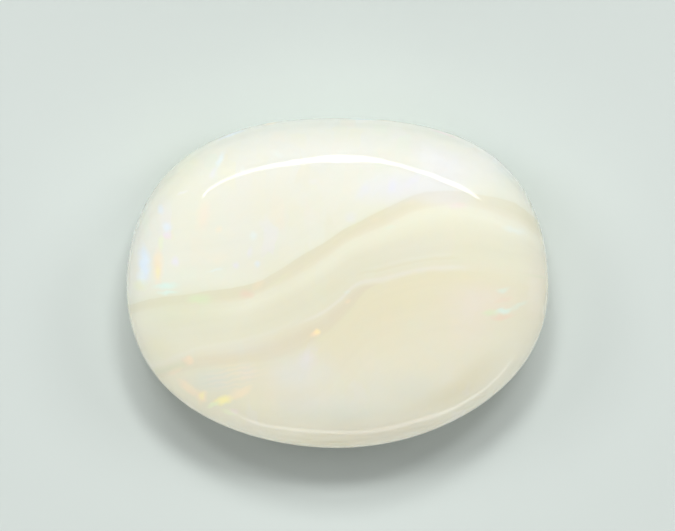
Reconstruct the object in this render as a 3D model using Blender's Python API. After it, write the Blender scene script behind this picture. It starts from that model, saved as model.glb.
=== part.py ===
"""A polished white opal: one solid oval stone with a gently domed face, a rounded shoulder,
full sides and a flat polished back.

It lies on its back. The frame is in metres: +Z up, out of the domed face, and +X along the long
axis. The origin is the middle of the flat back, on the surface that the stone lies on.
Run it with blender --background --python part.py, or from Blender's text editor.
"""

import math

import bmesh
import bpy
from mathutils import Vector

# Driving dimensions, in metres.
LENGTH = 0.0140
WIDTH = 0.0110
HEIGHT = 0.0049
GIRDLE_HEIGHT = 0.0023  # the widest line round the stone, above the flat back

# The sides go on below the back, as far as this, before the flat is ground across them.
BACK_DEPTH = 0.0025

# How square the section is: 2 is an ellipse, and more gives flatter faces and tighter shoulders.
# The shoulders are a little tighter at the -X end and rounder at the +X end, by this much.
SQUARENESS = 3.3
SHOULDER_CHANGE = 0.25

# The hand-ground outline swells past a true ellipse between the ends of its two axes, as shares
# of its radius there. It swells more towards +Y, and more towards the +X +Y quarter.
OUTLINE_SWELL = 0.035
SWELL_TOWARDS_Y = 0.031
SWELL_TO_ONE_CORNER = 0.010

# Faces along each edge of the cube that the stone is rounded from.
GRID = 24

OPAL_COLOUR = (0.87, 0.86, 0.76, 1.0)
OPAL_ROUGHNESS = 0.08
OPAL_IOR = 1.45


def clear_scene():
    """Removes every object, such as the startup scene's cube, camera and light."""
    for thing in list(bpy.data.objects):
        bpy.data.objects.remove(thing, do_unlink=True)


def sphere_direction(corner):
    """Where a point of the cube from -1 to 1 goes on the unit sphere, with its faces kept even."""
    x2, y2, z2 = (value * value for value in corner)
    return Vector(
        (
            corner.x * math.sqrt(1 - y2 / 2 - z2 / 2 + y2 * z2 / 3),
            corner.y * math.sqrt(1 - z2 / 2 - x2 / 2 + z2 * x2 / 3),
            corner.z * math.sqrt(1 - x2 / 2 - y2 / 2 + x2 * y2 / 3),
        )
    )


def outline_swell(turn):
    """The outline's radius as a multiple of the ellipse's, at a turn from +X seen from above."""
    share = OUTLINE_SWELL + SWELL_TOWARDS_Y * math.sin(turn)
    share += SWELL_TO_ONE_CORNER * math.sin(2 * turn)
    return 1 + share * math.sin(2 * turn) ** 2


def stone_point(direction):
    """The point of the rounded stone in a direction from the middle of its girdle."""
    turn = math.atan2(direction.y, direction.x)
    outward = math.hypot(direction.x, direction.y) / outline_swell(turn)
    depth = HEIGHT - GIRDLE_HEIGHT if direction.z > 0 else BACK_DEPTH
    squareness = SQUARENESS - SHOULDER_CHANGE * direction.x
    reach = (outward**squareness + abs(direction.z) ** squareness) ** (-1 / squareness)
    return Vector(
        (
            direction.x * reach * LENGTH / 2,
            direction.y * reach * WIDTH / 2,
            direction.z * reach * depth + GIRDLE_HEIGHT,
        )
    )


def grind_back_flat(mesh):
    """Cuts off what is below the back's plane and closes the cut with one flat face."""
    everything = mesh.verts[:] + mesh.edges[:] + mesh.faces[:]
    cut = bmesh.ops.bisect_plane(
        mesh, geom=everything, dist=1e-7, plane_co=(0, 0, 0), plane_no=(0, 0, -1), clear_outer=True
    )
    rim = [part for part in cut["geom_cut"] if isinstance(part, bmesh.types.BMEdge)]
    bmesh.ops.contextual_create(mesh, geom=rim)
    for edge in rim:
        edge.smooth = False


def centre_on_back(mesh):
    """Moves the stone so that the middle of its outline is over the origin."""
    for axis in (0, 1):
        places = [vertex.co[axis] for vertex in mesh.verts]
        middle = (min(places) + max(places)) / 2
        for vertex in mesh.verts:
            vertex.co[axis] -= middle


def opal_material():
    """Milky white polished opal."""
    material = bpy.data.materials.new("white_opal")
    material.use_nodes = True
    shader = material.node_tree.nodes["Principled BSDF"]
    shader.inputs["Base Color"].default_value = OPAL_COLOUR
    shader.inputs["Roughness"].default_value = OPAL_ROUGHNESS
    shader.inputs["IOR"].default_value = OPAL_IOR
    shader.inputs["Metallic"].default_value = 0.0
    material.diffuse_color = OPAL_COLOUR
    return material


def make_opal():
    """The whole stone: a finely divided cube, rounded to the stone's form and ground flat below."""
    mesh = bmesh.new()
    bmesh.ops.create_cube(mesh, size=2)
    bmesh.ops.subdivide_edges(mesh, edges=mesh.edges[:], cuts=GRID - 1, use_grid_fill=True)
    for vertex in mesh.verts:
        vertex.co = stone_point(sphere_direction(vertex.co))
    grind_back_flat(mesh)
    centre_on_back(mesh)
    bmesh.ops.recalc_face_normals(mesh, faces=mesh.faces[:])

    data = bpy.data.meshes.new("opal")
    mesh.to_mesh(data)
    mesh.free()
    data.shade_smooth()
    data.materials.append(opal_material())
    stone = bpy.data.objects.new("opal", data)
    bpy.context.scene.collection.objects.link(stone)
    return stone


clear_scene()
make_opal()
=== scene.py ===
import math

import bmesh
import bpy
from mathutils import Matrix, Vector


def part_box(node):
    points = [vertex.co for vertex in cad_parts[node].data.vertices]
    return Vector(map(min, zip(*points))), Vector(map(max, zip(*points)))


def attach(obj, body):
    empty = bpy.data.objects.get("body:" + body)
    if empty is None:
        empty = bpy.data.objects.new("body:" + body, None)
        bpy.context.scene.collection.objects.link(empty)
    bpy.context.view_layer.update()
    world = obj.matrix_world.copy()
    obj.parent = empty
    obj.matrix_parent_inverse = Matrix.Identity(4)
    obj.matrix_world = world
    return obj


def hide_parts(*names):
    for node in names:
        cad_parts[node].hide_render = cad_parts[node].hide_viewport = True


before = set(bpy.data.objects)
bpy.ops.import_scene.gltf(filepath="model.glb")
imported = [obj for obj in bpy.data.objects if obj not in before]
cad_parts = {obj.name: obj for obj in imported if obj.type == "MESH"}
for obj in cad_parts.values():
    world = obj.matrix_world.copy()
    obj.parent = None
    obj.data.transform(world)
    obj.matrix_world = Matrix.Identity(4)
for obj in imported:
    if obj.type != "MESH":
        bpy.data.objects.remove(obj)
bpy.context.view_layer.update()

# A loose white opal, ground and polished as an oval cabochon, that lies on its flat back.
# Lengths are in millimetres until they are made metres by this.
mm = 0.001


def hexColour(code):
    # sRGB hex to the linear colour that sockets take
    values = [int(code[start : start + 2], 16) / 255 for start in (0, 2, 4)]
    linear = [v / 12.92 if v <= 0.04045 else ((v + 0.055) / 1.055) ** 2.4 for v in values]
    return (*linear, 1.0)


def addNode(tree, kind, links=None, stops=(), **settings):
    # links: input name or number -> a socket, or a constant to set there
    # stops: a colour ramp's places and colours
    node = tree.nodes.new(kind)
    for name, value in settings.items():
        setattr(node, name, value)
    for name, value in (links or {}).items():
        if isinstance(value, bpy.types.NodeSocket):
            tree.links.new(value, node.inputs[name])
        else:
            node.inputs[name].default_value = value
    if stops:
        elements = node.color_ramp.elements
        elements.remove(elements[1])
        elements[0].position = stops[0][0]
        elements[0].color = hexColour(stops[0][1])
        for place, code in stops[1:]:
            elements.new(place).color = hexColour(code)
    return node


def newMaterial(name):
    material = bpy.data.materials.new(name)
    material.use_nodes = True
    tree = material.node_tree
    return material, tree, tree.nodes["Principled BSDF"]


def addObject(name, mesh):
    # the bmesh is used up
    data = bpy.data.meshes.new(name)
    mesh.to_mesh(data)
    mesh.free()
    thing = bpy.data.objects.new(name, data)
    bpy.context.scene.collection.objects.link(thing)
    return thing


stone = {
    "squareness": 3.3,  # 2 is an ellipse, and more gives a flatter face and tighter shoulders
    "shoulderChange": 0.25,  # tighter at the -X end, rounder at the +X end
    "girdle": 2.3,  # height of the widest line
    "backDepth": 2.5,  # how far the sides would go on below it, if the back weren't ground flat
    "swell": 0.035,  # the outline is fuller than an ellipse
    "swellUp": 0.031,  # more so towards +Y
    "swellCorner": 0.010,  # and towards +X +Y
    "arris": 0.10,  # the polished-over edge of the flat back
    "grid": 120,  # faces along each edge of the cube that the stone is rounded from
}


def sphereDirection(corner):
    # where a point of the cube from -1 to 1 goes on the unit sphere, with the faces kept even
    x2, y2, z2 = (value * value for value in corner)
    return Vector(
        (
            corner.x * math.sqrt(1 - y2 / 2 - z2 / 2 + y2 * z2 / 3),
            corner.y * math.sqrt(1 - z2 / 2 - x2 / 2 + z2 * x2 / 3),
            corner.z * math.sqrt(1 - x2 / 2 - y2 / 2 + x2 * y2 / 3),
        )
    )


def outlineSwell(turn):
    share = stone["swell"] + stone["swellUp"] * math.sin(turn)
    share += stone["swellCorner"] * math.sin(2 * turn)
    return 1 + share * math.sin(2 * turn) ** 2


def groundHeight(height):
    # the flat back at 0, with its edge rounded over
    arris = stone["arris"]
    near = max(arris - abs(height), 0)
    return max(height, 0) + near * near / (4 * arris)


def stonePoint(direction, half, top):
    turn = math.atan2(direction.y, direction.x)
    outward = math.hypot(direction.x, direction.y) / outlineSwell(turn)
    depth = top - stone["girdle"] if direction.z > 0 else stone["backDepth"]
    power = stone["squareness"] - stone["shoulderChange"] * direction.x
    reach = (outward**power + abs(direction.z) ** power) ** (-1 / power)
    height = direction.z * reach * depth + stone["girdle"]
    return Vector((direction.x * reach * half.x, direction.y * reach * half.y, groundHeight(height)))


def makeStone():
    low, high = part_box("opal")
    half = (high - low) / 2 / mm
    mesh = bmesh.new()
    bmesh.ops.create_cube(mesh, size=2)
    bmesh.ops.subdivide_edges(mesh, edges=mesh.edges[:], cuts=stone["grid"] - 1, use_grid_fill=True)
    for vertex in mesh.verts:
        vertex.co = stonePoint(sphereDirection(vertex.co), half, high.z / mm) * mm
    for axis in (0, 1):
        places = [vertex.co[axis] for vertex in mesh.verts]
        middle = (min(places) + max(places)) / 2
        for vertex in mesh.verts:
            vertex.co[axis] -= middle
    bmesh.ops.recalc_face_normals(mesh, faces=mesh.faces[:])
    piece = addObject("opalStone", mesh)
    piece.data.shade_smooth()
    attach(piece, "root")
    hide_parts("opal")
    return piece


# opal's play colours, as pale as milky stone shows them, and the tints of its clouds
playColours = {
    "blue": "DDECFC", "sky": "E4F0F2", "cyan": "DDF0E6", "green": "DAE8C6", "lime": "E8EDCB",
    "yellow": "FDF0B8", "orange": "FAE4C8", "red": "EAD4C2", "pink": "EDDCDA", "lilac": "E7E4EE",
    "white": "EDECEA", "grey": "DCDCD4", "slate": "D9DDD2", "brown": "D8D0B2", "tan": "E5DFBD",
    "cream": "E5E1CC", "straw": "E8E6CC", "sage": "D8DAC0", "mist": "DFE0DC", "umber": "D2CBB8",
    "peach": "EEE2D2", "periwinkle": "E2E3F6", "mint": "DFE8D8", "blush": "E6E1D3",
}

# The patterns have axes of their own, because the layers lean in the stone: along is +X, depth
# runs up the layers, and across is square to both, with 0 near the middle of the stone.
opal = {
    "roughness": 0.035,
    "ior": 1.45,
    "scatter": 5.0,  # how far light spreads inside
    "scatterByColour": (1.0, 0.9, 0.8),
    "lean": 16.0,  # degrees from upright, towards +Y
    "middle": 0.64,  # added to the place across
    "waver": 0.10,  # how far the layers waver
    "waverSize": 1.43,
    "fade": 2.4,  # from the outer layers' edges to the plain ground
    # each layer's edge as (along, across), from +Y to -Y
    "layerEdges": {
        "bandTop": [
            (-7.1, -0.72), (-5.9, -0.47), (-4.57, -0.27), (-3.24, -0.1), (-2.57, 0.1),
            (-1.91, 0.47), (-0.58, 1.3), (1.25, 2.36), (2.08, 2.72), (2.91, 3.02), (3.9, 3.03),
            (4.73, 2.95), (5.6, 2.76), (6.16, 2.42), (6.63, 2.04), (7.1, 1.6),
        ],
        "bandFoot": [
            (-7.1, -1.1), (-5.9, -0.83), (-4.57, -0.7), (-3.24, -0.6), (-2.57, -0.36),
            (-1.25, 0.23), (0.42, 1.36), (1.25, 1.73), (2.91, 2.4), (3.9, 2.5), (4.73, 2.42),
            (5.6, 2.05), (6.16, 1.8), (6.63, 1.42), (7.1, 0.95),
        ],
        "seamTop": [
            (-7.1, -2.95), (-5.23, -2.6), (-4.57, -2.37), (-3.24, -2.12), (-1.91, -1.69),
            (-1.25, -1.37), (-0.58, -1.06), (0.08, -0.57), (0.6, -0.1), (1.41, 0.07), (2.08, 0.24),
            (3.4, 0.46), (7.1, 0.2),
        ],
        "seamFoot": [
            (-7.1, -3.35), (-5.23, -3.02), (-4.57, -2.9), (-3.24, -2.72), (-1.91, -2.54),
            (-1.25, -2.3), (-0.58, -1.86), (0.42, -0.92), (1.0, -0.22), (1.41, 0.0), (2.08, 0.2),
            (3.4, 0.44), (7.1, 0.195),
        ],
    },
    # the body colour from layer to layer: 0 is far above the band, 1 and 2 its two edges, 3 and
    # 4 the seam's, and 5 far below
    "layerColours": [
        (0.0, "E4E4DA"), (0.6, "E6E6DA"), (0.93, "E7E7D8"), (0.99, "E6E6D6"), (1.08, "E0DDC7"),
        (1.5, "E1DDC7"), (1.8, "E5E1CD"), (1.97, "E8E6D4"), (2.12, "E9E8D6"), (2.35, "E4E2CF"),
        (2.62, "E2E0CC"), (2.85, "E3E1CD"), (2.93, "E4E1CE"), (3.0, "E3DFCA"), (3.35, "E0DAC5"),
        (3.7, "E0DAC4"), (4.0, "E3DFC7"), (4.12, "E5E0C8"), (4.5, "E4DFC9"), (5.0, "E5E1CD"),
    ],
    # soft clouds in the body, a few of them painted light and shade: colour, along, across, half
    # length, half width, turn, strength
    "clouds": [
        ("white", 1.2, 3.2, 1.6, 0.9, 25, 0.45),
        ("lilac", 3.4, 3.9, 2.4, 0.9, -28, 0.4),
        ("lilac", 1.1, 2.9, 1.0, 0.5, 35, 0.35),
        ("white", -0.5, 4.3, 2.6, 0.7, 0, 0.35),
        ("tan", 1.7, -0.7, 2.3, 1.2, 12, 0.4),
        ("tan", 1.2, -1.9, 2.2, 0.9, 0, 0.2),
        ("pink", 5.2, -0.4, 1.4, 0.9, 0, 0.22),
        ("pink", 4.4, -1.6, 1.1, 0.8, 0, 0.15),
        ("slate", 0.2, -4.3, 3.0, 0.7, 0, 0.6),
        # painted shade: these two darken the crescent on the lower right shoulder, which curves away
        # from the lights
        ("brown", 3.4, -3.75, 1.7, 0.5, 20, 0.4),
        ("brown", 4.5, -3.0, 1.7, 0.6, 40, 0.34),
        ("slate", -4.5, -1.5, 2.4, 0.5, 8, 0.15),
        ("tan", -0.4, -0.1, 1.1, 0.6, 28, 0.25),
        ("pink", -3.0, -2.9, 0.5, 0.5, 0, 0.3),
        ("lilac", -1.0, -2.49, 0.46, 0.56, -20, 0.55),
        ("slate", -4.15, -3.15, 1.25, 0.7, -4, 0.75),
        ("cream", 5.7, 0.35, 2.4, 0.75, -4, 1.0),
        ("periwinkle", 2.9, 3.15, 2.3, 1.0, -8, 0.95),
        ("periwinkle", 3.9, 2.75, 1.2, 0.5, -4, 0.45),
        ("periwinkle", 1.7, 3.1, 1.7, 1.0, 0, 0.8),
        ("periwinkle", 3.5, 3.9, 1.7, 0.8, -22, 0.48),
        ("white", 3.1, 2.72, 0.9, 0.3, 0, 0.6),
        ("mint", 5.5, 3.5, 0.9, 1.2, -20, 0.45),
        ("mint", -4.9, 0.3, 1.7, 0.5, 4, 0.45),
        ("straw", -5.3, 3.5, 1.2, 1.2, 0, 0.35),
        ("mist", 2.6, 1.1, 2.6, 0.8, 8, 0.4),
        ("mist", -3.0, -2.1, 1.6, 0.4, 8, 0.4),
        # painted light: a lighter patch on the upper right shoulder, standing in for light that falls
        # there
        ("white", 4.9, 4.1, 1.6, 1.2, -30, 0.5),
        ("blush", -2.6, 3.0, 2.7, 1.7, 10, 0.6),
        ("blush", -2.1, 0.7, 1.6, 1.1, 20, 0.5),
        ("straw", -4.7, 2.6, 2.2, 3.2, 0, 0.75),
        ("straw", -2.2, 2.5, 1.9, 1.4, 10, 0.55),
        ("straw", -2.0, 0.6, 1.0, 0.6, 30, 0.45),
        ("tan", -5.9, -2.1, 0.9, 0.7, 0, 0.35),
        ("straw", -1.0, -3.1, 1.5, 0.8, 0, 0.22),
        ("white", -1.1, -3.0, 1.6, 0.8, 0, 0.16),
        ("sage", -5.0, -0.8, 2.8, 1.2, 4, 0.75),
        ("mist", -1.3, -2.9, 2.0, 1.2, 5, 0.7),
        ("mist", -0.9, -3.9, 2.4, 0.6, 4, 0.4),
        ("slate", 1.5, -3.5, 2.2, 1.1, 0, 0.32),
        # painted shade: darker along the lower front shoulder, which faces away from the lights
        ("umber", 1.4, -4.85, 3.2, 0.8, 4, 0.5),
        ("straw", 1.3, -4.6, 1.6, 0.45, 10, 0.32),
        ("white", 1.3, -4.6, 1.5, 0.4, 10, 0.12),
        # painted light: lightens the lower left shoulder, standing in for light that shows through
        # there
        ("straw", -2.6, -4.05, 1.3, 0.6, -15, 0.38),
        ("brown", -0.6, -5.35, 2.8, 0.45, 0, 0.5),
        ("brown", -1.7, -0.4, 1.6, 0.9, 35, 0.22),
        # painted light: lightens the +X rim, which the lights leave darker
        ("peach", 6.6, 0.0, 0.7, 2.4, 0, 0.45),
        ("peach", -5.1, -3.2, 0.9, 0.5, -35, 0.3),
        ("lilac", 4.3, -0.5, 1.3, 0.9, 0, 0.12),
        ("periwinkle", 5.7, 4.1, 0.9, 0.8, -35, 0.35),
        ("slate", 2.6, -3.4, 1.6, 0.9, 0, 0.3),
        ("pink", 4.4, -0.7, 1.7, 1.3, 0, 0.25),
        ("grey", 4.9, 2.6, 1.6, 0.7, -14, 0.4),
    ],
    "cloudDepth": (3.0, 4.0),  # middle and half
    "cloudFade": 1.0,  # how far in from its edge a cloud is full: 1 is in its middle
    # flashes of play of colour under the face, and one painted highlight, given the same way
    "flashes": [
        ("blue", -6.34, 0.64, 0.3, 0.92, 3, 0.9),
        ("sky", -6.45, 0.22, 0.24, 0.36, 0, 0.6),
        ("orange", -5.88, 0.62, 0.28, 0.9, -3, 0.9),
        ("yellow", -5.88, 0.4, 0.14, 0.36, 0, 0.5),
        ("lime", -5.78, 1.35, 0.17, 0.42, 0, 0.7),
        ("blue", -5.8, 2.44, 0.18, 0.28, -5, 0.5),
        ("blue", -5.58, 1.88, 0.29, 0.28, 0, 0.6),
        ("pink", -5.57, 1.58, 0.28, 0.22, 0, 0.9),
        ("periwinkle", -5.6, 1.62, 0.24, 0.18, 0, 0.35),
        ("mint", -6.3, 2.0, 0.2, 0.8, 8, 0.5),
        ("cyan", -5.62, -0.08, 0.62, 0.19, 4, 0.9),
        ("cyan", -5.58, -0.3, 0.5, 0.13, 4, 0.8),
        ("lime", -6.45, -0.05, 0.4, 0.3, 0, 0.5),
        ("green", -4.52, -0.5, 0.64, 0.28, 2, 0.8),
        ("red", -2.95, -0.34, 0.46, 0.26, 12, 0.8),
        ("orange", -2.58, -0.02, 0.42, 0.24, 35, 0.4),
        ("lime", -1.9, 0.1, 0.9, 0.18, 32, 0.3),
        ("lime", 0.55, 1.9, 0.6, 0.2, 28, 0.45),
        ("straw", -0.15, 1.35, 0.8, 0.2, 30, 0.45),
        ("orange", 1.25, 2.08, 0.36, 0.2, 20, 0.35),
        ("orange", 2.4, 2.62, 0.4, 0.24, 15, 0.4),
        ("pink", 3.9, 2.56, 0.6, 0.22, 0, 1.0),
        ("orange", -4.38, 2.25, 0.42, 1.0, -12, 0.55),
        ("pink", -4.3, 2.25, 0.38, 0.8, -12, 0.4),
        # painted highlight: a thin white streak that carries the ridge highlight on past its left end
        ("white", -5.05, 2.98, 0.34, 0.08, 28, 0.8),
        ("orange", -3.87, 1.78, 0.22, 0.26, 0, 0.6),
        ("orange", -3.9, 0.85, 0.65, 0.42, 0, 0.25),
        ("lime", -4.9, 4.0, 0.5, 0.5, 0, 0.25),
        ("sky", -3.84, 4.05, 0.18, 0.44, -22, 1.0),
        ("lilac", -4.06, 3.6, 0.18, 0.44, -22, 0.8),
        ("sky", -3.1, 3.7, 0.14, 0.3, -20, 0.5),
        ("sky", -1.95, 4.25, 0.4, 0.24, -10, 0.5),
        ("periwinkle", 0.85, 3.05, 0.8, 0.38, 50, 0.95),
        ("straw", 1.24, 2.84, 0.5, 0.15, 62, 0.45),
        ("periwinkle", 1.8, 3.17, 0.48, 0.32, 80, 1.0),
        ("periwinkle", 2.45, 3.35, 0.6, 0.32, 35, 0.85),
        ("periwinkle", 0.42, 2.16, 0.46, 0.36, 30, 0.75),
        ("sky", 1.25, 3.4, 0.34, 0.2, 60, 0.6),
        ("lilac", -0.78, 3.32, 0.4, 0.24, 0, 0.8),
        ("sky", -2.72, 1.56, 0.24, 0.24, 0, 1.0),
        ("lilac", -2.85, 1.03, 0.18, 0.38, -20, 0.8),
        ("blue", -2.62, 0.64, 0.2, 0.19, 0, 0.7),
        ("lilac", -3.32, 0.6, 0.22, 0.2, 0, 0.9),
        ("lilac", -5.32, 0.74, 0.22, 0.26, 0, 0.9),
        ("lilac", -2.43, 1.9, 0.2, 0.42, 28, 0.6),
        ("sky", -4.0, 0.45, 0.44, 0.09, 14, 0.6),
        ("red", -4.93, -2.56, 0.3, 0.24, 10, 0.6),
        ("orange", -4.88, -2.52, 0.24, 0.2, 10, 0.5),
        ("orange", -5.35, -2.85, 0.4, 0.16, 35, 0.3),
        ("orange", -4.86, -3.48, 0.66, 0.2, -34, 0.65),
        ("orange", -4.49, -3.76, 0.24, 0.3, -25, 0.8),
        ("yellow", -4.49, -3.74, 0.14, 0.2, -25, 0.6),
        ("yellow", -3.78, -3.86, 0.46, 0.2, 12, 1.0),
        ("lime", -4.12, -4.0, 0.34, 0.14, 25, 0.8),
        ("orange", -3.22, -3.62, 0.6, 0.24, 28, 0.5),
        ("lime", -3.57, -4.26, 0.34, 0.14, -20, 0.5),
        ("pink", -3.4, -4.22, 0.24, 0.13, -20, 0.4),
        ("orange", -0.72, -1.64, 0.28, 0.18, 35, 0.8),
        ("yellow", -0.66, -1.6, 0.18, 0.13, 35, 0.6),
        ("orange", 0.32, -0.58, 0.17, 0.13, 0, 0.4),
        ("cyan", 0.32, -0.27, 0.2, 0.14, 0, 0.4),
        ("green", 5.0, -0.95, 0.42, 0.2, 8, 0.6),
        ("cyan", 5.46, -0.9, 0.42, 0.15, 8, 0.75),
        ("cyan", 5.95, -0.72, 0.46, 0.13, 24, 0.32),
        ("cyan", 5.43, -0.21, 0.32, 0.13, 12, 0.5),
        ("red", 5.4, -1.1, 0.58, 0.14, 8, 0.6),
        ("red", 5.45, -0.52, 0.45, 0.17, 15, 0.35),
        ("sky", 5.75, 1.77, 0.62, 0.17, -14, 0.35),
        ("cyan", 1.74, 1.83, 0.4, 0.14, 16, 0.6),
    ],
    "flashDepth": (3.2, 3.0),
    "flashFade": 0.75,
    # more of them low on the sides, with each one's middle depth and half depth added
    "sideFlashes": [
        ("blue", -3.6, 5.4, 0.74, 0.9, 0, 1.0, 3.2, 0.43),
        ("cyan", -2.9, 5.4, 0.54, 0.9, 0, 0.9, 2.7, 0.2),
        ("lilac", -3.9, 5.4, 0.35, 0.9, 0, 0.9, 3.2, 0.35),
        ("orange", -2.2, 5.5, 0.35, 0.9, 0, 0.8, 2.9, 0.6),
        ("yellow", -2.2, 5.5, 0.2, 0.9, 0, 0.8, 2.7, 0.28),
        ("green", 0.4, 5.5, 0.81, 0.9, 0, 0.7, 2.6, 0.22),
        ("sky", 0.9, 5.5, 0.68, 0.9, 0, 1.0, 3.1, 0.18),
        ("peach", 1.6, 5.5, 0.54, 0.9, 0, 1.0, 2.8, 0.62),
        ("pink", 3.6, 5.2, 0.74, 0.9, 0, 0.9, 3.3, 0.28),
        ("cyan", 4.2, 5.0, 0.49, 0.9, 0, 0.9, 2.8, 0.19),
        ("orange", 4.5, 4.9, 0.41, 0.9, 0, 0.6, 2.5, 0.25),
        ("orange", 6.8, 0.6, 0.9, 0.29, 0, 0.8, 1.8, 0.62),
        ("yellow", 6.8, 0.7, 0.9, 0.17, 0, 0.8, 1.5, 0.25),
        ("cyan", 6.8, -0.5, 0.9, 0.65, 0, 0.9, 1.5, 0.2),
        ("blue", 6.6, -1.6, 0.9, 0.39, 0, 0.8, 1.3, 0.43),
        ("green", 6.4, 2.4, 0.9, 0.59, 0, 0.6, 1.9, 0.2),
        ("blue", -6.8, 1.6, 0.9, 0.44, 0, 0.9, 1.9, 0.5),
        ("orange", -6.8, 0.4, 0.9, 0.26, 0, 0.8, 1.6, 0.56),
        ("cyan", -6.7, -0.9, 0.9, 0.72, 0, 0.9, 1.4, 0.19),
        ("pink", -6.4, -2.2, 0.9, 0.52, 0, 0.8, 1.3, 0.28),
        ("orange", -3.4, -4.4, 0.81, 0.9, 0, 0.9, 0.6, 0.28),
        ("yellow", -3.1, -4.4, 0.41, 0.9, 0, 0.9, 0.7, 0.15),
        ("lime", -2.4, -4.6, 0.68, 0.9, 0, 0.8, 0.4, 0.18),
        ("blue", -0.6, -4.7, 0.49, 0.9, 0, 0.8, 0.6, 0.43),
        ("lilac", 0.2, -4.7, 0.41, 0.9, 0, 0.8, 0.8, 0.28),
        ("orange", 2.2, -4.6, 0.32, 0.9, 0, 0.7, 0.5, 0.5),
        ("cyan", 3.0, -4.5, 0.68, 0.9, 0, 0.9, 0.8, 0.18),
        ("red", 3.2, -4.5, 0.74, 0.9, 0, 0.7, 0.5, 0.15),
    ],
    # patches of fine striations: two colours, along, across, half length, half width, turn,
    # spacing, strength
    "combs": [
        ("grey", "peach", -3.45, -3.05, 1.35, 0.62, 11, 0.17, 0.24),
    ],
    "combFade": 0.6,
    # the flashes' ragged edges: how far they are pushed, and the size of the teeth
    "rag": (0.13, 0.18, 0.0),
    "ragSize": 0.3125,
    # faint shards of colour in all of the stone
    "shards": {
        "size": (0.55, 1.45, 1.0),  # along, across and in depth
        "turn": 14,
        "lit": 0.9,  # share of the shards that show at all
        "edge": (0.62, 0.22),  # from its middle: where a shard begins to show, and is full
        "patchSize": 2.22,  # they come in patches
        "patch": (0.30, 0.60),  # the noise's value at a patch's edge, and where it is full
        "strength": 0.42,
        "thinning": (1.1, 0.8),  # they thin out between these layers, from full at the second
        "below": 0.35,  # to this share
        "hues": [
            "mint", "peach", "straw", "straw", "cream", "white", "mint", "peach", "lilac", "straw",
        ],
    },
    # hair-fine layers that follow the seam's top edge: colour, height above it, half width, start
    # and end along, strength. The first closes the seam's +X end, the last softens its -X end
    "hairlines": [
        ("cream", -0.02, 0.1, 0.2, 9.0, 1.0),
        ("white", 0.06, 0.13, -1.5, 4.6, 0.3),
        ("white", 0.22, 0.12, -6.0, -1.0, 0.1),
        ("brown", 0.37, 0.08, 0.4, 4.2, 0.17),
        ("white", 0.5, 0.08, 0.8, 4.0, 0.1),
        ("sage", -0.12, 0.22, -9.0, -4.6, 0.6),
    ],
    "hairlineCore": 0.7,  # share of a hairline's length that is at full strength
    # growth lines that follow the layers. The real ones are some hundredths of a millimetre thick,
    # and are drawn coarser so that they show
    "grain": {"length": 4.55, "perLayer": 7.0, "contrast": 0.007},
}


def patchInside(tree, where, patch, depth):
    # a point's place in a patch's own axes, and how far in it is: 0 at the edge, 1 in the middle
    along, across, halfLength, halfWidth, turn = patch
    middle, halfDepth = depth
    place = addNode(
        tree,
        "ShaderNodeMapping",
        {
            "Vector": where,
            "Location": (along, across, middle),
            "Rotation": (0, 0, math.radians(turn)),
            "Scale": (halfLength, halfWidth, halfDepth),
        },
        vector_type="TEXTURE",
    ).outputs["Vector"]
    ball = addNode(tree, "ShaderNodeTexGradient", {"Vector": place}, gradient_type="SPHERICAL")
    return place, ball.outputs["Fac"]


def mixedIn(tree, colour, tint, inside, fade, strength):
    # a tint over a colour, from nothing at a patch's edge to its full strength at fade
    amount = addNode(
        tree,
        "ShaderNodeMapRange",
        {"Value": inside, "From Max": fade, "To Max": strength},
        interpolation_type="SMOOTHSTEP",
    ).outputs["Result"]
    return addNode(tree, "ShaderNodeMix", {0: amount, 6: colour, 7: tint}, data_type="RGBA").outputs[2]


def patched(tree, colour, where, patch, depth, fade):
    name, *shape, strength = patch
    inside = patchInside(tree, where, shape, depth)[1]
    return mixedIn(tree, colour, hexColour(playColours[name]), inside, fade, strength)


def combed(tree, colour, where, comb):
    # fine straight striations of two play colours, across a soft-edged patch
    first, second, *shape, spacing, strength = comb
    place, inside = patchInside(tree, where, shape, opal["flashDepth"])
    parts = addNode(tree, "ShaderNodeSeparateXYZ", {"Vector": place})
    halfWidth = shape[3]
    phase = addNode(
        tree,
        "ShaderNodeMath",
        {0: parts.outputs["Y"], 1: 2 * math.pi * halfWidth / spacing},
        operation="MULTIPLY",
    )
    wave = addNode(tree, "ShaderNodeMath", {0: phase.outputs["Value"]}, operation="SINE")
    # cut short of the wave's ends, so that each stripe has a flat middle
    share = addNode(
        tree, "ShaderNodeMapRange", {"Value": wave.outputs["Value"], "From Min": -0.7, "From Max": 0.7}
    )
    stripes = addNode(
        tree,
        "ShaderNodeMix",
        {
            0: share.outputs["Result"],
            6: hexColour(playColours[first]),
            7: hexColour(playColours[second]),
        },
        data_type="RGBA",
    )
    return mixedIn(tree, colour, stripes.outputs[2], inside, opal["combFade"], strength)


def layersAt(tree, along, across):
    # which layer a point is in, from 0 far above the band to 5 far below the seam, and the place of
    # the seam's top edge there
    edges = {}
    for name, points in opal["layerEdges"].items():
        curve = addNode(tree, "ShaderNodeFloatCurve", {"Value": along})
        curve.mapping.use_clip = False
        spots = curve.mapping.curves[0].points
        spots[0].location = points[0]
        spots[1].location = points[-1]
        for point in points[1:-1]:
            spots.new(*point)
        curve.mapping.update()
        edges[name] = curve.outputs["Value"]
    above = addNode(tree, "ShaderNodeMath", {0: edges["bandTop"], 1: opal["fade"]})
    below = addNode(tree, "ShaderNodeMath", {0: edges["seamFoot"], 1: -opal["fade"]})
    steps = [above.outputs["Value"], *edges.values(), below.outputs["Value"]]
    layer = 0.0
    for upper, lower in zip(steps, steps[1:]):
        share = addNode(
            tree, "ShaderNodeMapRange", {"Value": across, "From Min": upper, "From Max": lower}
        )
        layer = addNode(tree, "ShaderNodeMath", {0: layer, 1: share.outputs["Result"]}).outputs["Value"]
    return layer, edges["seamTop"]


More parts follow.
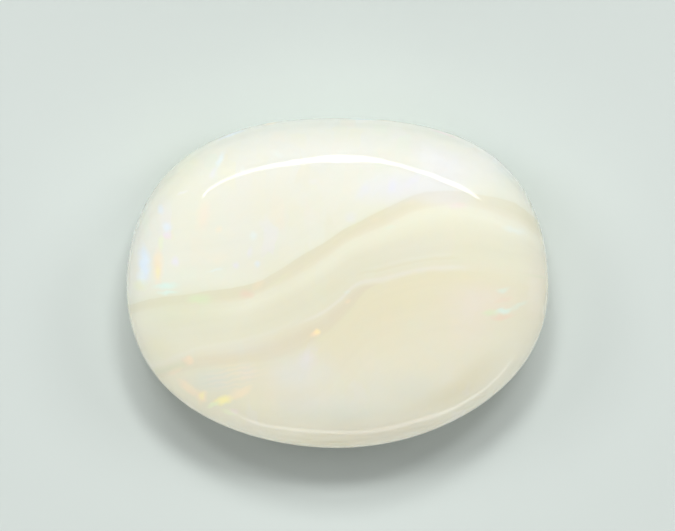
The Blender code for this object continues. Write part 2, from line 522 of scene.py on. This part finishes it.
def withShards(tree, colour, position, ragged, layer):
    shards = opal["shards"]
    turned = addNode(
        tree,
        "ShaderNodeMapping",
        {
            "Vector": ragged,
            "Rotation": (0, 0, math.radians(shards["turn"])),
            "Scale": tuple(1 / size for size in shards["size"]),
        },
    )
    cells = addNode(
        tree,
        "ShaderNodeTexVoronoi",
        {"Vector": turned.outputs["Vector"], "Scale": 1.0},
        distance="CHEBYCHEV",
    )
    random = addNode(tree, "ShaderNodeSeparateColor", {"Color": cells.outputs["Color"]})
    count = len(shards["hues"])
    hue = addNode(
        tree,
        "ShaderNodeValToRGB",
        {"Fac": random.outputs["Red"]},
        stops=[(place / count, playColours[name]) for place, name in enumerate(shards["hues"])],
    )
    hue.color_ramp.interpolation = "CONSTANT"
    patches = addNode(
        tree,
        "ShaderNodeTexNoise",
        {"Vector": position, "Scale": 1 / shards["patchSize"], "Detail": 1.0},
    )
    # what each value is like where the shards begin to show, and where they are full
    amount = shards["strength"]
    for value, (start, end), least, ease in (
        (random.outputs["Green"], (1 - shards["lit"], 1.0), 0.0, "LINEAR"),
        (patches.outputs["Fac"], shards["patch"], 0.0, "LINEAR"),
        (cells.outputs["Distance"], shards["edge"], 0.0, "SMOOTHSTEP"),
        (layer, shards["thinning"], shards["below"], "LINEAR"),
    ):
        share = addNode(
            tree,
            "ShaderNodeMapRange",
            {"Value": value, "From Min": start, "From Max": end, "To Min": least},
            interpolation_type=ease,
        )
        amount = addNode(
            tree, "ShaderNodeMath", {0: share.outputs["Result"], 1: amount}, operation="MULTIPLY"
        ).outputs["Value"]
    shown = {0: amount, 6: colour, 7: hue.outputs["Color"]}
    return addNode(tree, "ShaderNodeMix", shown, data_type="RGBA").outputs[2]


def withHairline(tree, colour, along, gap, hairline):
    # gap: how far above the seam's top edge
    name, height, halfWidth, start, end, strength = hairline
    middle = (start + end) / 2
    halfLength = (end - start) / 2
    shares = []
    for value, centre, edge, core, most in (
        (gap, height, halfWidth, 0.0, strength),
        (along, middle, halfLength, halfLength * opal["hairlineCore"], 1.0),
    ):
        off = addNode(tree, "ShaderNodeMath", {0: value, 1: centre}, operation="SUBTRACT")
        off = addNode(tree, "ShaderNodeMath", {0: off.outputs["Value"]}, operation="ABSOLUTE")
        share = addNode(
            tree,
            "ShaderNodeMapRange",
            {"Value": off.outputs["Value"], "From Min": edge, "From Max": core, "To Max": most},
            interpolation_type="SMOOTHSTEP",
        )
        shares.append(share.outputs["Result"])
    amount = addNode(tree, "ShaderNodeMath", {0: shares[0], 1: shares[1]}, operation="MULTIPLY")
    shown = {0: amount.outputs["Value"], 6: colour, 7: hexColour(playColours[name])}
    return addNode(tree, "ShaderNodeMix", shown, data_type="RGBA").outputs[2]


def withGrain(tree, colour, parts, layer):
    grain = opal["grain"]
    stretched = addNode(tree, "ShaderNodeCombineXYZ", {"Z": parts.outputs["Z"]})
    for axis, value, scale in (
        ("X", parts.outputs["X"], 1 / grain["length"]),
        ("Y", layer, grain["perLayer"]),
    ):
        scaled = addNode(tree, "ShaderNodeMath", {0: value, 1: scale}, operation="MULTIPLY")
        tree.links.new(scaled.outputs["Value"], stretched.inputs[axis])
    lines = addNode(
        tree, "ShaderNodeTexNoise", {"Vector": stretched.outputs["Vector"], "Scale": 1.0, "Detail": 2.0}
    )
    # the noise keeps mostly within 0.3 to 0.7
    shade = addNode(
        tree,
        "ShaderNodeMapRange",
        {
            "Value": lines.outputs["Fac"],
            "From Min": 0.3,
            "From Max": 0.7,
            "To Min": 1 - grain["contrast"],
            "To Max": 1 + grain["contrast"],
        },
    )
    lined = addNode(
        tree, "ShaderNodeVectorMath", {0: colour, 3: shade.outputs["Result"]}, operation="SCALE"
    )
    return lined.outputs["Vector"]


def opalMaterial():
    # Solid white opal, ground and polished with oxide: silica spheres in clear silica, so it is
    # milky all through, a little see-through at the edge and as glossy as glass.
    material, tree, shader = newMaterial("polished white opal")
    shader.inputs["Roughness"].default_value = opal["roughness"]
    shader.inputs["IOR"].default_value = opal["ior"]
    shader.inputs["Subsurface Weight"].default_value = 1.0
    shader.inputs["Subsurface Radius"].default_value = opal["scatterByColour"]
    shader.inputs["Subsurface Scale"].default_value = opal["scatter"] * mm

    coordinates = addNode(tree, "ShaderNodeTexCoord")
    position = addNode(
        tree,
        "ShaderNodeMapping",
        {
            "Vector": coordinates.outputs["Object"],
            "Location": (0, opal["middle"], 0),
            "Rotation": (math.radians(opal["lean"]), 0, 0),
            "Scale": (1 / mm, 1 / mm, 1 / mm),
        },
    ).outputs["Vector"]
    parts = addNode(tree, "ShaderNodeSeparateXYZ", {"Vector": position})
    along = parts.outputs["X"]

    # the layers, with a slight waver
    noise = addNode(
        tree, "ShaderNodeTexNoise", {"Vector": position, "Scale": 1 / opal["waverSize"], "Detail": 3.0}
    )
    waver = addNode(
        tree,
        "ShaderNodeMapRange",
        {"Value": noise.outputs["Fac"], "To Min": -opal["waver"], "To Max": opal["waver"]},
        clamp=False,
    )
    wavered = addNode(tree, "ShaderNodeMath", {0: parts.outputs["Y"], 1: waver.outputs["Result"]})
    across = wavered.outputs["Value"]
    layer, seam = layersAt(tree, along, across)
    count = len(opal["layerEdges"]) + 1
    share = addNode(tree, "ShaderNodeMath", {0: layer, 1: count}, operation="DIVIDE")
    body = addNode(
        tree,
        "ShaderNodeValToRGB",
        {"Fac": share.outputs["Value"]},
        stops=[(place / count, code) for place, code in opal["layerColours"]],
    )
    colour = body.outputs["Color"]
    for cloud in opal["clouds"]:
        colour = patched(tree, colour, position, cloud, opal["cloudDepth"], opal["cloudFade"])

    # play of colour, in places pushed out of true so that the edges are ragged
    teeth = addNode(
        tree, "ShaderNodeTexNoise", {"Vector": position, "Scale": 1 / opal["ragSize"], "Detail": 1.0}
    )
    push = addNode(
        tree,
        "ShaderNodeVectorMath",
        {0: teeth.outputs["Color"], 1: (0.5, 0.5, 0.5)},
        operation="SUBTRACT",
    )
    ragged = addNode(
        tree,
        "ShaderNodeVectorMath",
        {0: push.outputs["Vector"], 1: opal["rag"], 2: position},
        operation="MULTIPLY_ADD",
    ).outputs["Vector"]
    colour = withShards(tree, colour, position, ragged, layer)
    for comb in opal["combs"]:
        colour = combed(tree, colour, ragged, comb)
    for flash in opal["flashes"]:
        colour = patched(tree, colour, ragged, flash, opal["flashDepth"], opal["flashFade"])
    for *flash, depth, halfDepth in opal["sideFlashes"]:
        colour = patched(tree, colour, ragged, flash, (depth, halfDepth), opal["flashFade"])

    gap = addNode(tree, "ShaderNodeMath", {0: across, 1: seam}, operation="SUBTRACT").outputs["Value"]
    for hairline in opal["hairlines"]:
        colour = withHairline(tree, colour, along, gap, hairline)
    colour = withGrain(tree, colour, parts, layer)
    tree.links.new(colour, shader.inputs["Base Color"])
    return material


# Azimuths are from +Y towards +X and elevations from the floor, in degrees.
studio = {
    "room": "D9E2DD",
    "level": 1.27,  # how bright all lights and the room are
}


def towards(azimuth, elevation, distance):
    a, e = math.radians(azimuth), math.radians(elevation)
    return Vector((math.sin(a) * math.cos(e), math.cos(a) * math.cos(e), math.sin(e))) * distance


card = {
    "colour": "D0D8D4",
    "half": 0.15,  # metres: past this the room is as bright as the card
    "roughness": 0.9,
}


def makeFloor():
    # card with a matte face, so that it has no gloss to show the stone in
    mesh = bmesh.new()
    bmesh.ops.create_grid(mesh, x_segments=1, y_segments=1, size=card["half"])
    floor = addObject("floor", mesh)
    material, tree, shader = newMaterial("matte pale card")
    shader.inputs["Base Color"].default_value = hexColour(card["colour"])
    shader.inputs["Roughness"].default_value = card["roughness"]
    shader.inputs["Specular IOR Level"].default_value = 0.0
    floor.data.materials.append(material)
    return floor


softboxes = {
    "distance": 1.2,  # metres
    "aimHeight": 2.0,
    # what each one lights, its azimuth, elevation, width and height in degrees as seen from the
    # stone, and the share of a flat card's light that it gives
    "boxes": {
        "faceHigh": ("stone", 180, 65, 50, 20, 0.376),
        "faceFront": ("stone", 180, 40, 50, 20, 0.059),
        "faceBack": ("stone", 0, 28, 60, 20, 0.16),
        "faceBackHigh": ("stone", 0, 45, 40, 14, 0.078),
        "faceBackLeft": ("stone", -50, 30, 40, 24, 0.094),
        "faceBackRight": ("stone", 50, 30, 40, 24, 0.124),
        "faceLeft": ("stone", -95, 22, 40, 24, 0.046),
        "faceRight": ("stone", 140, 25, 40, 20, 0.036),
        "cardTop": ("floor", 0, 86, 50, 50, 0.115),
        "cardKeyLeft": ("floor", -13, 54, 9, 6, 0.14),
        "cardKeyRight": ("floor", 16, 53, 9, 6, 0.17),
        "cardKeyLow": ("floor", 0, 47, 14, 6, 0.178),
        "cardLeft": ("floor", -55, 43, 22, 16, 0.088),
        "cardRight": ("floor", 55, 43, 22, 16, 0.088),
        "cardFront": ("floor", 180, 14, 60, 16, 0.078),
        "cardFrontHigh": ("floor", 180, 62, 60, 30, 0.036),
    },
}


def receivers(floor):
    # the stone's softboxes light everything but the floor, and the floor's light only that
    groups = {}
    for name, state in (("stone", "EXCLUDE"), ("floor", "INCLUDE")):
        group = bpy.data.collections.new(name + "Light")
        group.objects.link(floor)
        group.collection_objects[0].light_linking.link_state = state
        groups[name] = group
    return groups


def makeSoftboxes(groups):
    distance = softboxes["distance"]
    target = Vector((0, 0, softboxes["aimHeight"] * mm))
    for name, (lights, azimuth, elevation, *angles, share) in softboxes["boxes"].items():
        light = bpy.data.lights.new(name, "AREA")
        light.shape = "RECTANGLE"
        light.size, light.size_y = (2 * distance * math.tan(math.radians(a / 2)) for a in angles)
        height = math.sin(math.radians(elevation))
        light.energy = studio["level"] * share * (math.pi * distance) ** 2 / height
        lamp = bpy.data.objects.new(name, light)
        bpy.context.scene.collection.objects.link(lamp)
        lamp.location = towards(azimuth, elevation, distance)
        lamp.rotation_euler = (target - lamp.location).to_track_quat("-Z", "Y").to_euler()
        lamp.visible_glossy = False
        lamp.light_linking.receiver_collection = groups[lights]


# lamp strips that only the gloss shows, bent round the stone
strips = {
    "distance": 0.5,  # metres
    # how bright each one is, and its stops: azimuth, elevation, half height
    "lamps": {
        "ridgeStrip": {
            "glow": 6.0,
            "stops": [
                (-53, 45.6, 1.2), (-50, 43.4, 1.6), (-46, 41.8, 1.8), (-41, 41.2, 2.1),
                (-34, 40.7, 2.5), (-28, 40.9, 2.9), (-20, 41, 3.5), (-12, 40.3, 4.3), (-6, 39, 5.5),
                (-2, 36, 6.5), (1.5, 35, 8.5), (3.5, 34.5, 7.5), (5.5, 34.6, 6), (9.4, 36.4, 4),
                (13.8, 40.2, 2.8), (18.3, 42.9, 2.5), (23.5, 44.3, 2.4), (32, 46, 2.8),
                (37.7, 46.3, 3), (42, 45.5, 3.2), (46.7, 45, 3.4), (51.2, 43.8, 2.6),
                (56.7, 43, 1.4), (59.5, 42, 0.8),
            ],
        },
        "frontStrip": {
            "glow": 2.3,
            "stops": [
                (199.3, 20.5, 2), (197.6, 17.5, 2.4), (195.9, 16, 3), (194.3, 13.5, 3.2),
                (192, 13.2, 3.2), (189.7, 15.8, 3.2), (187.3, 17.3, 3.2), (184, 17.8, 3.2),
                (180.6, 18.8, 3.2), (177, 15.8, 3.8), (174, 14.6, 4.4), (171, 14.8, 5),
                (167.4, 14, 5), (164.5, 13.8, 5), (161.2, 10.8, 5), (158, 7, 4.4), (153, 3.5, 4),
                (146, 3, 3.2), (140, 4, 3), (134, 7, 3),
            ],
        },
    },
}


def makeStrip(name, strip):
    # one column of the grid for each stop, bent to its place
    stops = strip["stops"]
    last = len(stops) - 1
    mesh = bmesh.new()
    bmesh.ops.create_grid(mesh, x_segments=last, y_segments=1, size=1)
    for vertex in mesh.verts:
        azimuth, elevation, halfHeight = stops[round((vertex.co.x + 1) / 2 * last)]
        vertex.co = towards(azimuth, elevation + vertex.co.y * halfHeight, strips["distance"])
    piece = addObject(name, mesh)
    # diffuser cloth with a lamp behind it: it only glows
    material = bpy.data.materials.new("lit diffuser cloth " + name)
    material.use_nodes = True
    tree = material.node_tree
    tree.nodes.clear()
    glow = addNode(tree, "ShaderNodeEmission", {"Strength": studio["level"] * strip["glow"]})
    addNode(tree, "ShaderNodeOutputMaterial", {"Surface": glow.outputs["Emission"]})
    piece.data.materials.append(material)
    piece.visible_camera = False
    piece.visible_diffuse = False
    piece.visible_shadow = False


def makeWorld():
    # a pale room that shows behind the stone and in its gloss. It gives no diffuse light, so that
    # the softboxes alone shade the stone and shape its shadow
    world = bpy.data.worlds.new("studio")
    bpy.context.scene.world = world
    world.use_nodes = True
    world.cycles.sampling_method = "NONE"
    tree = world.node_tree
    rays = addNode(tree, "ShaderNodeLightPath")
    strength = addNode(
        tree,
        "ShaderNodeMapRange",
        {"Value": rays.outputs["Is Diffuse Ray"], "To Min": studio["level"], "To Max": 0.0},
    )
    background = tree.nodes["Background"]
    background.inputs["Color"].default_value = hexColour(studio["room"])
    tree.links.new(strength.outputs["Result"], background.inputs["Strength"])


view = {
    "lens": 250,
    "sensor": 36,
    "frameWidth": 22.42,  # what the picture's width shows, at the stone
    "lean": 16.0,  # degrees from straight above, towards +Y
    "aim": (0, 0.615, 2.3),
    "clip": (0.01, 10),  # metres
}


def makeCamera():
    data = bpy.data.cameras.new("camera")
    data.lens = view["lens"]
    data.sensor_width = view["sensor"]
    data.clip_start, data.clip_end = view["clip"]
    camera = bpy.data.objects.new("camera", data)
    bpy.context.scene.collection.objects.link(camera)
    distance = view["frameWidth"] * view["lens"] / view["sensor"] * mm
    lean = math.radians(view["lean"])
    camera.location = Vector(view["aim"]) * mm + Vector((0, math.sin(lean), math.cos(lean))) * distance
    camera.rotation_euler = (-lean, 0, 0)
    bpy.context.scene.camera = camera


bpy.context.scene.view_settings.view_transform = "Standard"
makeCamera()
print("camera made")
piece = makeStone()
print("stone made:", len(piece.data.polygons), "faces")
piece.data.materials.append(opalMaterial())
print("opal material made:", len(piece.data.materials[0].node_tree.nodes), "nodes")
floor = makeFloor()
makeWorld()
print("floor and room made")
makeSoftboxes(receivers(floor))
print("softboxes made:", len(softboxes["boxes"]))
for name, strip in strips["lamps"].items():
    makeStrip(name, strip)
print("lamp strips made:", len(strips["lamps"]))
